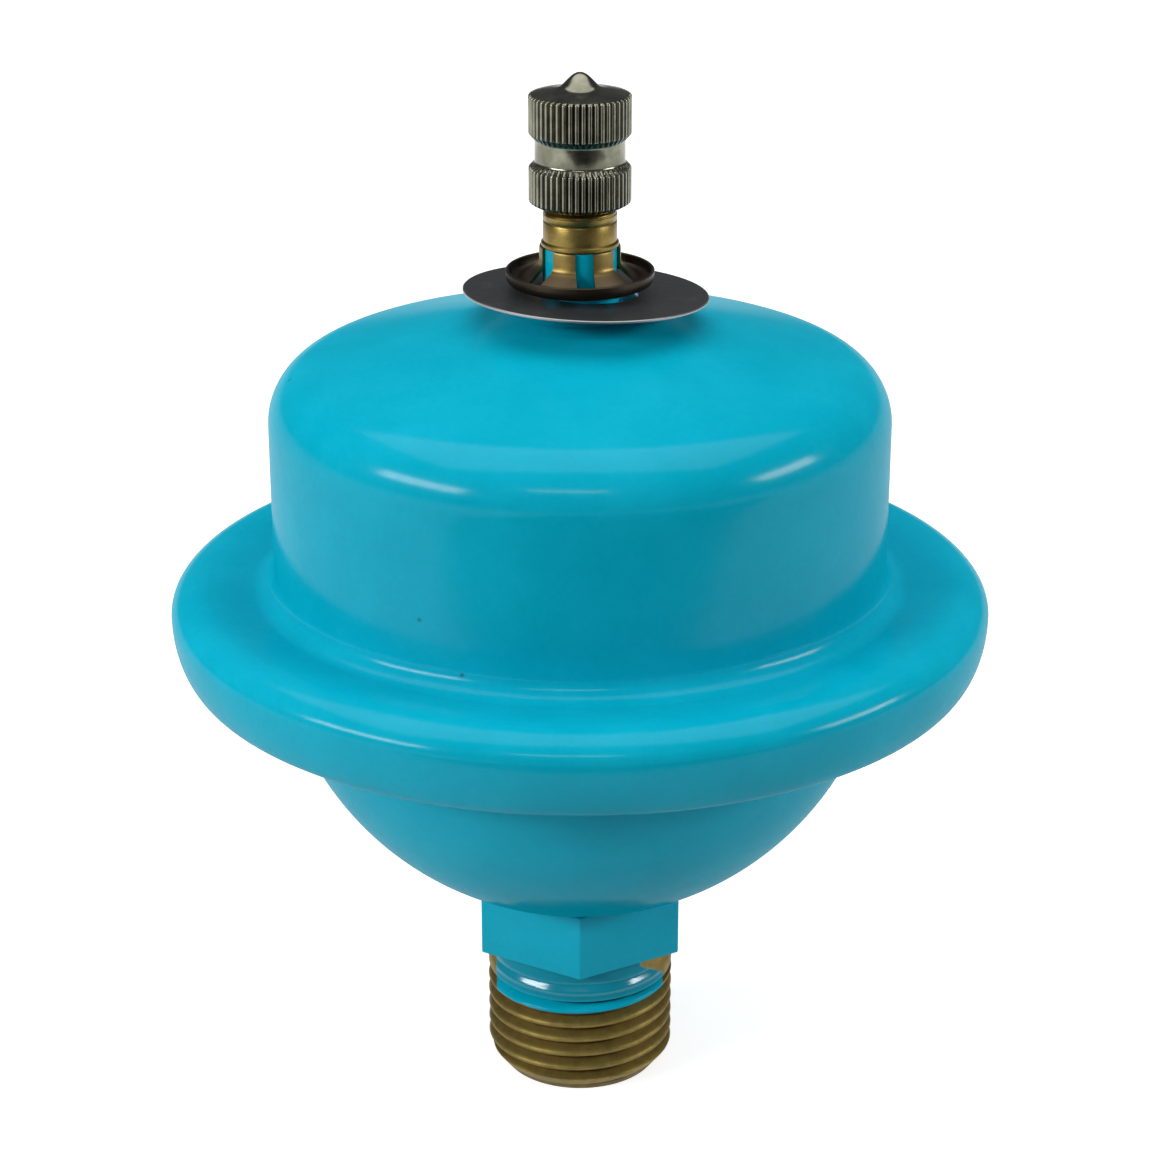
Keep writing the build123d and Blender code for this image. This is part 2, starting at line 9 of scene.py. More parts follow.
import bpy
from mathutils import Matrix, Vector


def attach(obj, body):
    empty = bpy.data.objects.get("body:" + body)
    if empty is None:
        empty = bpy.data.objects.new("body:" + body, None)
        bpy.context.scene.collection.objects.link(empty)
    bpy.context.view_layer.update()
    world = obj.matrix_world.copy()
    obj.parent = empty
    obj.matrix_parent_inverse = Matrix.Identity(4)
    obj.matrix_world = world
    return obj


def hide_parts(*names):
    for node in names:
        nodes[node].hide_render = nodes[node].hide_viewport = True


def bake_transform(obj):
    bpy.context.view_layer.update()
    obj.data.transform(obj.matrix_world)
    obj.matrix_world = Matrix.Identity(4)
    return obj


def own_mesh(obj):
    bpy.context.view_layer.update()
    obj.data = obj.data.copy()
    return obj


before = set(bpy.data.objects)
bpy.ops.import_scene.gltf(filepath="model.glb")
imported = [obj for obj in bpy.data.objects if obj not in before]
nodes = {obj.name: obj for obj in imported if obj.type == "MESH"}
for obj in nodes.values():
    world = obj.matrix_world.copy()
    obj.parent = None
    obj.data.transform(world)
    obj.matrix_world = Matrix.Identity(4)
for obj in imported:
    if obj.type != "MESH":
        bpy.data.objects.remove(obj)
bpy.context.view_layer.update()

# %% [markdown]
# The camera comes first, so that every later render can be laid beside the photograph.
# Its place, tilt and focal length were solved from the outline of the object: it stands
# 300 mm in front of the axis and 178 mm above the thread's end, tilted 21.7 degrees down.
# All sizes in this script are given in millimetres and turned to metres by one factor.

# %% Camera
mm = 0.001
scene = bpy.context.scene
bpy.ops.object.select_all(action="DESELECT")
bpy.ops.object.camera_add(
    location=(0, -299.8 * mm, 178.1 * mm), rotation=(radians(68.27), 0, 0)
)
camera = bpy.context.object
camera.name = "photo_camera"
camera.data.sensor_width = 36
camera.data.lens = 91.92
camera.data.clip_start = 10 * mm
camera.data.clip_end = 40000 * mm
camera.data.dof.use_dof = False
scene.camera = camera
print("camera lens", round(camera.data.lens, 2), "mm, distance", round(camera.location.length, 3))

# %% [markdown]
# The studio is a pale floor with soft lamps, as in a catalogue picture. The floor is
# coloured pale, and its material adds a little white for camera, glossy and transmission
# rays, so the background reads as white paper while the shadow stays. The world is a
# quiet grey, so metal has something darker to show.


# %% A soft lamp that looks at a point
def soft_lamp(name, place, target, width, height, watts):
    """An area lamp at place, in mm, turned towards target, in mm."""
    start = Vector(place) * mm
    turn = (Vector(target) * mm - start).to_track_quat("-Z", "Y").to_euler()
    bpy.ops.object.light_add(type="AREA", location=start, rotation=turn)
    lamp = bpy.context.object
    lamp.name = name
    lamp.data.shape = "RECTANGLE"
    lamp.data.size = width * mm
    lamp.data.size_y = height * mm
    lamp.data.energy = watts
    return lamp


# %% Lamps
soft_lamp("lamp_left", (-690, -400, 390), (0, 0, 70), 500, 140, 4.5)
soft_lamp("lamp_right", (780, -130, 360), (0, 0, 70), 380, 130, 2.8)
soft_lamp("lamp_above", (0, 110, 900), (0, 0, 80), 1300, 820, 6.4)
soft_lamp("lamp_front", (-60, -760, 640), (0, 0, 70), 420, 50, 0.8)

# %% [markdown]
# Materials are written as sums. A small class wraps a node's output socket and adds Math
# nodes for plus, minus, times and divide, so that a mask reads like arithmetic. One method
# makes any other node from its type, its settings and the values of its sockets.


# %% Wire, a socket that can be calculated with
class Wire:
    """The output socket of a node in a finish."""

    def __init__(self, finish, socket):
        self.finish = finish
        self.socket = socket

    def maths(self, operation, *values):
        """One Math node, with the values in its sockets."""
        sockets = dict(enumerate(values))
        return self.finish.node("ShaderNodeMath", {"operation": operation}, sockets)

    def __add__(self, other):
        return self.maths("ADD", self, other)

    def __radd__(self, other):
        return self.maths("ADD", other, self)

    def __sub__(self, other):
        return self.maths("SUBTRACT", self, other)

    def __rsub__(self, other):
        return self.maths("SUBTRACT", other, self)

    def __mul__(self, other):
        return self.maths("MULTIPLY", self, other)

    def __truediv__(self, other):
        return self.maths("DIVIDE", self, other)

    def step(self, low, high):
        """0 below low, 1 above high and a smooth rise between."""
        return self.finish.node(
            "ShaderNodeMapRange",
            {"interpolation_type": "SMOOTHSTEP"},
            {"Value": self, "From Min": low, "From Max": high},
        )

    def at_least(self, other):
        return self.maths("MAXIMUM", self, other)

    def at_most(self, other):
        return self.maths("MINIMUM", self, other)

    def root(self):
        return self.maths("SQRT", self)


# %% Finish, a material made from expressions
class Finish:
    """A node material. Its Principled shader takes values, or wires where they vary."""

    def __init__(self, name, **uniform):
        self.material = bpy.data.materials.new(name)
        self.material.use_nodes = True
        self.tree = self.material.node_tree
        self.shader = self.tree.nodes["Principled BSDF"]
        for key, value in uniform.items():
            self.shader.inputs[key.replace("_", " ")].default_value = value

    def feed(self, target, value):
        if isinstance(value, Wire):
            self.tree.links.new(value.socket, target)
        else:
            target.default_value = value

    def node(self, kind, settings=None, sockets=None, out=0):
        made = self.tree.nodes.new(kind)
        for key, value in (settings or {}).items():
            setattr(made, key, value)
        for key, value in (sockets or {}).items():
            self.feed(made.inputs[key], value)
        return Wire(self, made.outputs[out])

    def place(self):
        """Object coordinates in millimetres, as x, y, z and the whole vector."""
        raw = self.node("ShaderNodeTexCoord", out="Object")
        scaled = self.node(
            "ShaderNodeVectorMath",
            {"operation": "SCALE"},
            {0: raw, "Scale": 1 / mm},
        )
        split = self.node("ShaderNodeSeparateXYZ", sockets={0: scaled})
        parts = [Wire(self, s) for s in split.socket.node.outputs]
        return (*parts, scaled)

    def noise(self, where, scale, detail=2.0, roughness=0.5):
        return self.node(
            "ShaderNodeTexNoise",
            {"noise_dimensions": "3D"},
            {"Vector": where, "Scale": scale, "Detail": detail, "Roughness": roughness},
        )

    def mix(self, share, first, second):
        """A colour that goes from first to second as share goes from 0 to 1."""
        return self.node(
            "ShaderNodeMix",
            {"data_type": "RGBA"},
            {0: share, 6: first, 7: second},
            out=2,
        )

    def stretched(self, where, x, y, z):
        return self.node(
            "ShaderNodeVectorMath",
            {"operation": "MULTIPLY"},
            {0: where, 1: (x, y, z)},
        )

    def bump(self, height, distance):
        """A relief of height 0 to 1 that stands distance millimetres proud."""
        return self.node(
            "ShaderNodeBump",
            sockets={"Height": height, "Distance": distance * mm, "Strength": 1.0},
        )

    def send(self, **wires):
        for key, value in wires.items():
            self.feed(self.shader.inputs[key.replace("_", " ")], value)
        return self.material


# %% [markdown]
# The floor is one large sheet of pale card. It takes the object's shadow.

# %% Floor
bpy.ops.object.select_all(action="DESELECT")
bpy.ops.mesh.primitive_plane_add(size=24000 * mm, location=(0, 0, -0.02 * mm))
floor = bpy.context.object
floor.name = "floor"
card = Finish("floor_card", Base_Color=(0.56, 0.56, 0.56, 1), Roughness=0.9)
card.shader.inputs["Specular IOR Level"].default_value = 0.0
seen = card.node("ShaderNodeLightPath", out="Is Camera Ray")
path = seen.socket.node.outputs
shown = seen.at_least(Wire(card, path["Is Glossy Ray"])).at_least(
    Wire(card, path["Is Transmission Ray"])
)
card.shader.inputs["Emission Strength"].default_value = 0.76
card.send(Emission_Color=card.mix(shown, (0, 0, 0, 1), (1, 1, 1, 1)))
floor.data.materials.append(card.material)

# %% [markdown]
# A black card lies in front, out of the picture, and gives the metal something dark to
# show. The camera can't see it, and it casts no shadow.

# %% Black card
bpy.ops.object.select_all(action="DESELECT")
bpy.ops.mesh.primitive_plane_add(size=1, location=(140 * mm, -620 * mm, 0.5 * mm))
flag = bpy.context.object
flag.name = "black_card"
bpy.ops.transform.resize(value=(620 * mm, 950 * mm, 1))
flag.data.materials.append(
    Finish("black_card", Base_Color=(0.02, 0.02, 0.02, 1), Roughness=0.9).material
)
flag.visible_camera = False
flag.visible_shadow = False

# %% World
world = bpy.data.worlds.new("studio_air")
scene.world = world
world.use_nodes = True
air = world.node_tree.nodes["Background"].inputs
air["Color"].default_value = (0.62, 0.64, 0.66, 1)
air["Strength"].default_value = 0.17
scene.view_settings.view_transform = "Standard"
print("floor and world made")

# %% [markdown]
# The vessel's enamel is a gloss teal over pressed steel. It has a slight orange peel, a
# cloudy unevenness where the coat is thicker or thinner, and a few specks and pin holes.
# The peel is a bump from two sizes of noise, and the cloud only moves the colour a little.
# The gloss is a clear coat whose weight varies. The base has no gloss of its own, so the
# colour stays deep where the surface turns away.


# %% Teal enamel
def enamel_colour(finish, where):
    """The paint's colour with its cloudy unevenness and fine mottle."""
    cloud = finish.noise(where, 0.09, 3.0, 0.55)
    mottle = finish.noise(where, 1.5, 2.0, 0.6)
    tone = cloud * 0.7 + mottle * 0.3
    return finish.mix(tone.step(0.30, 0.72), (0.000, 0.375, 0.525, 1), (0.004, 0.425, 0.59, 1))


def enamel_relief(finish, where):
    """Orange peel, as a height from 0 to 1."""
    return finish.noise(where, 0.8, 2.0, 0.5) * 0.7 + finish.noise(where, 2.6, 1.0, 0.5) * 0.3


def make_enamel():
    finish = Finish(
        "teal_enamel",
        Roughness=0.4,
        Specular_IOR_Level=0.0,
        Coat_IOR=1.5,
        Coat_Roughness=0.16,
    )
    x, y, z, where = finish.place()
    colour = enamel_colour(finish, where)
    speck = finish.node(
        "ShaderNodeTexVoronoi", {"feature": "F1"}, {"Vector": where, "Scale": 0.07}
    )
    pin = 1 - speck.step(0.010, 0.022)
    colour = finish.mix(pin * 0.7, colour, (0.02, 0.12, 0.15, 1))
    gloss = 0.12 + finish.noise(where, 1.1, 2.0) * 0.14 + z.step(50.0, 54.0) * 0.06
    peel = finish.bump(enamel_relief(finish, where), 0.035)
    return finish.send(Base_Color=colour, Coat_Weight=gloss, Normal=peel)


enamel = make_enamel()
print("finish:", enamel.name)

# %% [markdown]
# Most pieces of this object were made on a lathe or pressed round an axis. So they are
# modelled as a turner would draw them: one half outline, drawn by extruding a single
# vertex from point to point, and then spun round the axis. The helpers below draw arcs,
# and turn an outline into a closed, smooth mesh with its place in its vertices.


# %% Outline helpers
def arc(centre, radii, first, last, count):
    """Points on an ellipse, from angle first to last in degrees; r is across, z is up."""
    across, up = radii
    points = []
    for i in range(count + 1):
        a = radians(first + (last - first) * i / count)
        points.append((centre[0] + across * cos(a), centre[1] + up * sin(a)))
    return points


def line(first, last, count):
    """Evenly spaced points from first to last, without first."""
    return [
        (
            first[0] + (last[0] - first[0]) * i / count,
            first[1] + (last[1] - first[1]) * i / count,
        )
        for i in range(1, count + 1)
    ]


def new_vertex(name):
    """A mesh of one vertex at the origin, left in edit mode."""
    bpy.ops.object.select_all(action="DESELECT")
    bpy.ops.mesh.primitive_plane_add(size=0.001, location=(0, 0, 0))
    piece = bpy.context.object
    piece.name = name
    bpy.ops.object.mode_set(mode="EDIT")
    bpy.ops.mesh.select_all(action="SELECT")
    bpy.ops.mesh.merge(type="CENTER")
    return piece


def draw_outline(name, outline):
    """A chain of edges through the outline's points, in mm, left in edit mode."""
    piece = new_vertex(name)
    r, z = outline[0]
    bpy.ops.transform.translate(value=(r * mm, 0, z * mm))
    for nr, nz in outline[1:]:
        bpy.ops.mesh.extrude_vertices_move(
            TRANSFORM_OT_translate={"value": ((nr - r) * mm, 0, (nz - z) * mm)}
        )
        r, z = nr, nz
    return piece


def close_mesh(angle=30):
    """Merges doubles, points the faces outwards and shades smooth, then leaves edit mode."""
    bpy.ops.mesh.select_all(action="SELECT")
    bpy.ops.mesh.remove_doubles(threshold=0.0008 * mm)
    bpy.ops.mesh.normals_make_consistent(inside=False)
    bpy.ops.object.mode_set(mode="OBJECT")
    bpy.ops.object.shade_smooth_by_angle(angle=radians(angle))


def activate(piece):
    """The piece alone is selected, and active."""
    bpy.ops.object.select_all(action="DESELECT")
    piece.select_set(True)
    bpy.context.view_layer.objects.active = piece


def cut_away(piece, cutter, name):
    """Takes the cutter's volume out of the piece, and removes the cutter."""
    difference = piece.modifiers.new(name, "BOOLEAN")
    difference.operation = "DIFFERENCE"
    difference.solver = "EXACT"
    difference.object = cutter
    activate(piece)
    bpy.ops.object.modifier_apply(modifier=difference.name)
    bpy.data.objects.remove(cutter)


def turned(name, outline, steps=160, angle=30):
    """A closed outline spun round the Z axis."""
    piece = draw_outline(name, outline)
    bpy.ops.mesh.select_all(action="SELECT")
    bpy.ops.mesh.spin(steps=steps, angle=2 * pi, center=(0, 0, 0), axis=(0, 0, 1))
    close_mesh(angle)
    print(name, "has", len(piece.data.polygons), "faces")
    return piece


def dress(piece, node, material):
    """The piece takes the CAD node's place, with a finish."""
    piece.data.materials.clear()
    piece.data.materials.append(material)
    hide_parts(node)


def stand_for(piece, node, body, material):
    """The piece takes the CAD node's place and rides on its body."""
    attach(piece, body)
    dress(piece, node, material)


# %% [markdown]
# The upper shell is deep-drawn from sheet. Its crown is a shallow cone, the shoulder is a
# 6.3 mm round, and at the bottom the sheet turns out, rises a little to the rim's crest,
# rolls over and curls in under the lower shell's flange. One closed outline holds the
# sheet's outer and inner side. The inner rounds follow from the outer ones and the sheet.

# %% Upper shell
sheet = 1.5
stem_hole_r = 3.92
seat_r, seat_z = 6.5, 89.29
crown_start = (6.7, 89.27)
crown_slope = 14.4
wall_r = 33.1
shoulder_r, shoulder_z = 6.3, 77.6
bend_r, bend_z = 2.2, 61.4
crest_r, crest_z = 40.2, 59.75
rim_r, rim_z = 44.25, 56.8
curl_r, curl_z = 41.4, 50.6
shoulder_centre = (wall_r - shoulder_r, shoulder_z)
bend_centre = (wall_r + bend_r, bend_z)
crest_across, crest_up = rim_r - crest_r, crest_z - rim_z
curl_across, curl_down = rim_r - curl_r, rim_z - curl_z
shoulder = arc(shoulder_centre, (shoulder_r, shoulder_r), 90 - crown_slope, 0, 16)
upper_outer = (
    [(stem_hole_r, seat_z), (seat_r, seat_z), crown_start]
    + line(crown_start, shoulder[0], 14)[:-1]
    + shoulder
    + line((wall_r, shoulder_z), (wall_r, bend_z), 10)
    + arc(bend_centre, (bend_r, bend_r), 180, 277, 12)[1:]
    + [(37.0, 59.4), (38.6, 59.64), (crest_r, crest_z)]
    + arc((crest_r, rim_z), (crest_across, crest_up), 90, 0, 18)[1:]
    + arc((curl_r, rim_z), (curl_across, curl_down), 0, -90, 18)[1:]
    + [(40.2, curl_z), (38.2, curl_z), (37.75, 50.75), (37.6, 51.2), (37.6, curl_z + sheet)]
)
upper_inner = (
    [(curl_r, curl_z + sheet)]
    + arc((curl_r, rim_z), (curl_across - sheet, curl_down - sheet), -90, 0, 8)[1:]
    + arc((crest_r, rim_z), (crest_across - sheet, crest_up - sheet), 0, 90, 8)[1:]
    + [(38.5, 58.14), (36.9, 57.9)]
    + arc(bend_centre, (bend_r + sheet, bend_r + sheet), 274, 180, 8)
    + [(wall_r - sheet, shoulder_z)]
    + arc(shoulder_centre, (shoulder_r - sheet, shoulder_r - sheet), 0, 90 - crown_slope, 6)[1:]
    + [(6.7, 87.7), (stem_hole_r, 87.75), (stem_hole_r, seat_z)]
)
upper = turned("upper_shell_pressed", upper_outer + upper_inner, steps=192)
stand_for(upper, "upper_shell", "vessel", enamel)

# %% [markdown]
# The lower shell is a bowl of the same sheet. Its flange lies inside the rolled rim, so
# only the bowl and a narrow ring of the flange show from below.

# %% Lower shell
bowl_r = 33.3
bowl_centre = (0, 55)
bowl_in_r = bowl_r - sheet
flange_bend = 1.0
bowl_outer = arc(bowl_centre, (bowl_r, bowl_r), -74.28, -6.4, 40)
bowl_inner = arc(bowl_centre, (bowl_in_r, bowl_in_r), -7.05, -73.52, 24)
lower_outline = (
    bowl_outer
    + arc((34.1, 51.1), (flange_bend, flange_bend), 176, 90, 6)
    + [(37.0, 52.1), (40.9, 52.1), (41.2, 52.3), (41.3, 52.85), (41.2, 53.4), (40.8, 53.6)]
    + arc((34.28, 51.1), (flange_bend + sheet, flange_bend + sheet), 90, 178, 8)
    + bowl_inner
    + [bowl_outer[0]]
)
lower = turned("lower_shell_pressed", lower_outline, steps=192)
stand_for(lower, "lower_shell", "vessel", enamel)

# %% [markdown]
# The inlet thread is a G 1/2 pipe thread, 14 to the inch. Its outline is one pitch of
# rounded crest and root, carried up the helix by the Screw modifier, cut off square at
# both ends, and pressed in at the end face to give the lead-in chamfer.


# %% Helical thread
crest_fullness = 0.65


def pitch_outline(crest_r, depth, pitch, count=12):
    """One pitch of a rounded thread, from root to root. The crests are fuller than a wave."""
    points = []
    for i in range(count + 1):
        t = i / count
        wave = (0.5 - 0.5 * cos(2 * pi * t)) ** crest_fullness
        points.append((crest_r - depth + depth * wave, pitch * t))
    return points


def helical_thread(name, outline, pitch, low, high, limits, steps=96, shift=0):
    """A thread's skin between the heights low and high. limits(z) gives the least and the
    greatest radius there, and shift moves the helix down, all in mm."""
    start = low - pitch - shift
    piece = draw_outline(name, [(r, z + start) for r, z in outline])
    bpy.ops.object.mode_set(mode="OBJECT")
    screw = piece.modifiers.new("helix", "SCREW")
    screw.axis = "Z"
    screw.angle = 2 * pi
    screw.screw_offset = pitch * mm
    screw.iterations = int((high - low) / pitch) + 3
    screw.steps = steps
    screw.render_steps = steps
    screw.use_merge_vertices = True
    screw.merge_threshold = 0.002 * mm
    bpy.ops.object.modifier_apply(modifier=screw.name)
    bpy.ops.object.mode_set(mode="EDIT")
    for height, inner in ((low, True), (high, False)):
        bpy.ops.mesh.select_all(action="SELECT")
        bpy.ops.mesh.bisect(
            plane_co=(0, 0, height * mm),
            plane_no=(0, 0, 1),
            clear_inner=inner,
            clear_outer=not inner,
            threshold=0.0001 * mm,
        )
    bpy.ops.object.mode_set(mode="OBJECT")
    for v in piece.data.vertices:
        r = hypot(v.co.x, v.co.y)
        least, most = limits(v.co.z / mm)
        k = min(max(r, least * mm), most * mm) / r
        v.co.x *= k
        v.co.y *= k
    return piece


inlet_r = 20.955 / 2
inlet_depth = 1.16
inlet_pitch = 25.4 / 14
inlet_top_z = 11.75
lead_in_r = 8.76
lead_in_rise = 0.78
relief_r = 9.5
runout_z, runout_h = 11.35, 0.25


def inlet_limits(z):
    """Lead-in chamfer below and the runout into the relief groove above."""
    most = min(inlet_r, lead_in_r + z * lead_in_rise)
    least = lead_in_r if z < 0.02 else 0
    if z > runout_z:
        fade = min(1, (z - runout_z) / runout_h)
        least = relief_r * fade
        most = inlet_r - (inlet_r - relief_r) * fade
    return least, max(least, most)


thread = helical_thread(
    "inlet_thread_skin",
    pitch_outline(inlet_r, inlet_depth, inlet_pitch),
    inlet_pitch,
    0,
    inlet_top_z,
    inlet_limits,
    shift=0.54,
)
print("thread skin", len(thread.data.polygons), "faces")

# %% [markdown]
# The rest of the fitting is turned bar with a hexagon left standing. The neck and bore are
# spun. Above the thread the neck has a narrow groove, a flared collar and a waist below
# the hexagon. The hexagon is a six-sided cylinder with its edges just broken. The bowl is
# brazed on top, so the hexagon is hollowed by a ball a little larger than the bowl. The
# neck, the thread's skin and the hexagon are then joined to make one piece.

# %% Neck, bore and hexagon
hex_flats = 22.0
hex_low_z, hex_top_z = 16.13, 23.8
seat_gap = 0.03
neck = turned(
    "neck",
    [(8.76, 0.0), (7.3, 0.0), (6.5, 0.8), (6.5, 25.5), (9.0, 25.5), (9.0, 22.5)]
    + [(9.5, 17.2), (9.95, 17.0), (9.92, 16.13), (9.9, 15.4), (9.9, 14.5), (9.92, 14.15)]
    + [(9.96, 13.92), (10.06, 13.74), (10.17, 13.56), (10.28, 13.38), (10.38, 13.22)]
    + [(10.43, 13.08), (10.45, 12.9), (10.46, 12.7), (10.45, 12.3), (10.4, 12.08)]
    + [(10.1, 11.97), (9.7, 11.88), (9.5, 11.78), (9.45, 11.6), (9.3, 11.3)]
    + [(8.9, 10.9), (8.7, 1.0), (8.76, 0.0)],
    steps=120,
)

bpy.ops.object.select_all(action="DESELECT")
bpy.ops.mesh.primitive_cylinder_add(
    vertices=6,
    radius=hex_flats / sqrt(3) * mm,
    depth=(hex_top_z - hex_low_z) * mm,
    location=(0, 0, (hex_top_z + hex_low_z) / 2 * mm),
)
hexagon = bpy.context.object
hexagon.name = "hexagon"
bpy.ops.object.transform_apply(location=True, rotation=True, scale=True)
corner = max(hexagon.data.vertices, key=lambda v: -v.co.y).co
print("hexagon's front corner at", [round(c / mm, 2) for c in corner])
bevel = hexagon.modifiers.new("broken_edges", "BEVEL")
bevel.width = 0.16 * mm
bevel.segments = 3
bpy.ops.object.modifier_apply(modifier=bevel.name)

bpy.ops.object.select_all(action="DESELECT")
bpy.ops.mesh.primitive_uv_sphere_add(
    segments=128,
    ring_count=96,
    radius=(bowl_r + seat_gap) * mm,
    location=(0, 0, bowl_centre[1] * mm),
)
cut_away(hexagon, bpy.context.object, "bowl_seat")


# %% Join pieces into one
def join(name, *parts):
    """One object from several, the first one's data kept."""
    activate(parts[0])
    for part in parts[1:]:
        part.select_set(True)
    bpy.ops.object.join()
    whole = bpy.context.object
    whole.name = name
    return whole


def smooth(piece, angle):
    """Cleans and shades a piece that is in object mode."""
    activate(piece)
    bpy.ops.object.mode_set(mode="EDIT")
    close_mesh(angle)


smooth(thread, 40)
smooth(hexagon, 24)
fitting = join("inlet_fitting_turned", neck, thread, hexagon)

# %% [markdown]
# The fitting was screwed in before the vessel was sprayed, and its thread was masked by a
# cap. So the hexagon, the neck and the uppermost crest carry enamel, the rest is bare
# brass, and the edge between them is ragged. The neck has a bare patch at each side; the
# left one is narrow from the front. Paint has pooled on the flared collar. The enamel on
# the neck below the hexagon is darkened as painted shade, and the groove is painted dark
# as shade. The thread's roots are darkened as painted shade, so the crests read brighter,
# and random grime darkens the brass as well.


# %% Brass colours
def brass_colour(finish, where, hollow_shade_and_grime):
    """Machined brass: light where rubbed, olive brown where grime lies and where shade is painted
    into hollows.
    """
    cloud = finish.noise(where, 0.5, 3.0, 0.6)
    clean = finish.mix(cloud, (0.20, 0.142, 0.038, 1), (0.30, 0.222, 0.068, 1))
    return finish.mix(hollow_shade_and_grime, clean, (0.085, 0.060, 0.022, 1))


def radius_of(x, y):
    return (x * x + y * y).root()


# %% Sprayed and bare brass
def make_sprayed_brass():
    finish = Finish(
        "sprayed_brass", Specular_IOR_Level=0.0, Coat_IOR=1.5, Coat_Roughness=0.16
    )
    x, y, z, where = finish.place()
    r = radius_of(x, y)
    ragged = finish.noise(where, 0.55, 3.0, 0.6) * 1.1 + finish.noise(where, 2.4, 2.0) * 0.4
    edge = z - 9.75 - ragged
    reach = 9.7 - z.step(12.4, 15.2) * 2.6
    bare_side = (x + ragged * 0.5 - reach).step(-0.15, 0.15) * (1 - y.step(-1.0, 3.0))
    bare_side = bare_side.at_least((ragged * 0.4 - x - 9.75).step(-0.12, 0.12))
    paint = edge.step(-0.12, 0.12) * (1 - bare_side * (1 - z.step(16.0, 16.1)))
    paint = paint * r.step(9.0, 9.4).at_least(z.step(15.9, 16.0))
    # Painted shade: the thread's roots are darkened by radius, which leaves the crests brighter.
    root = 1 - r.step(9.32, 9.62)
    grime_and_painted_shade = finish.noise(where, 0.8, 3.0, 0.65).step(0.35, 0.75)
    hollow_shade_and_grime = (root * 0.55 + grime_and_painted_shade * 0.35).at_most(1.0)
    metal = brass_colour(finish, where, hollow_shade_and_grime)
    colour = finish.mix(paint, metal, enamel_colour(finish, where))
    # Painted shade: the enamel on the neck just below the hexagon is darkened.
    neck_shade = paint * z.step(12.0, 12.6) * (1 - z.step(15.9, 16.05))
    colour = finish.mix(neck_shade * 0.5, colour, (0.000, 0.12, 0.16, 1))
    # Painted shade: the groove above the thread is coloured nearly black.
    groove = z.step(11.45, 11.55) * (1 - z.step(11.95, 12.05)) * (1 - r.step(9.9, 10.1))
    colour = finish.mix(groove * 0.8, colour, (0.012, 0.045, 0.045, 1))
    pooled = z.step(12.7, 13.0) * (1 - z.step(13.9, 14.3))
    gloss = paint * (0.2 + pooled * 0.8)
    rough = (0.5 + hollow_shade_and_grime * 0.12) * (1 - paint) + paint * 0.4
    peel = enamel_relief(finish, where) * paint
    scratches = finish.noise(finish.stretched(where, 0.4, 0.4, 9.0), 1.0, 2.0) * (1 - paint)
    relief = finish.bump(peel + scratches * 0.5, 0.03)
    return finish.send(
        Base_Color=colour,
        Metallic=(1 - paint) * 0.8,
        Roughness=rough,
        Coat_Weight=gloss,
        Normal=relief,
    )


sprayed_brass = make_sprayed_brass()
stand_for(fitting, "inlet_fitting", "vessel", sprayed_brass)

# %% [markdown]
# The valve stem is brass too. It has a foot flange brazed to the crown, a painted base, a
# collar where the paint stops, and above it bare brass up to the 8V1 thread under the cap.

# %% Valve stem
stem_body = turned(
    "stem_body",
    [(2.15, 86.0), (3.6, 86.0), (3.9, 86.3), (3.9, 89.31), (6.3, 89.31), (6.3, 90.0)]
    + [(6.2, 90.25), (6.0, 90.35), (4.1, 90.35), (3.9, 90.6), (3.9, 96.25)]
    + [(4.02, 96.3), (4.09, 96.4), (4.1, 96.55), (4.06, 96.7), (3.94, 96.82)]
    + [(3.87, 96.92), (3.87, 98.84), (3.83, 98.91), (3.78, 98.97), (3.78, 99.03)]
    + [(3.83, 99.09), (3.87, 99.16), (3.87, 99.7), (3.3, 99.9), (3.3, 108.7)]
    + [(3.35, 109.0), (2.8, 109.0), (2.6, 108.8), (2.6, 102.4), (2.15, 101.8), (2.15, 86.0)],
    steps=96,
)


stem_r = 7.7 / 2
stem_depth = 0.49
stem_pitch = 25.4 / 32
stem_foot_z, stem_end_z = 99.7, 109.0
stem_chamfer = 0.5
stem_runout_r, stem_runout_h = 3.8, 0.25


def stem_limits(z):
    """A short chamfer at the free end and a runout at the foot of the thread."""
    chamfer_z = stem_end_z - stem_chamfer
    most = stem_r - max(0, z - chamfer_z)
    least = stem_runout_r if z < stem_foot_z + stem_runout_h else 0
    return least, max(least, most)


stem_skin = helical_thread(
    "stem_thread_skin",
    pitch_outline(stem_r, stem_depth, stem_pitch, 8),
    stem_pitch,
    stem_foot_z,
    stem_end_z,
    stem_limits,
    steps=64,
)
smooth(stem_skin, 40)
stem = join("valve_stem_turned", stem_body, stem_skin)


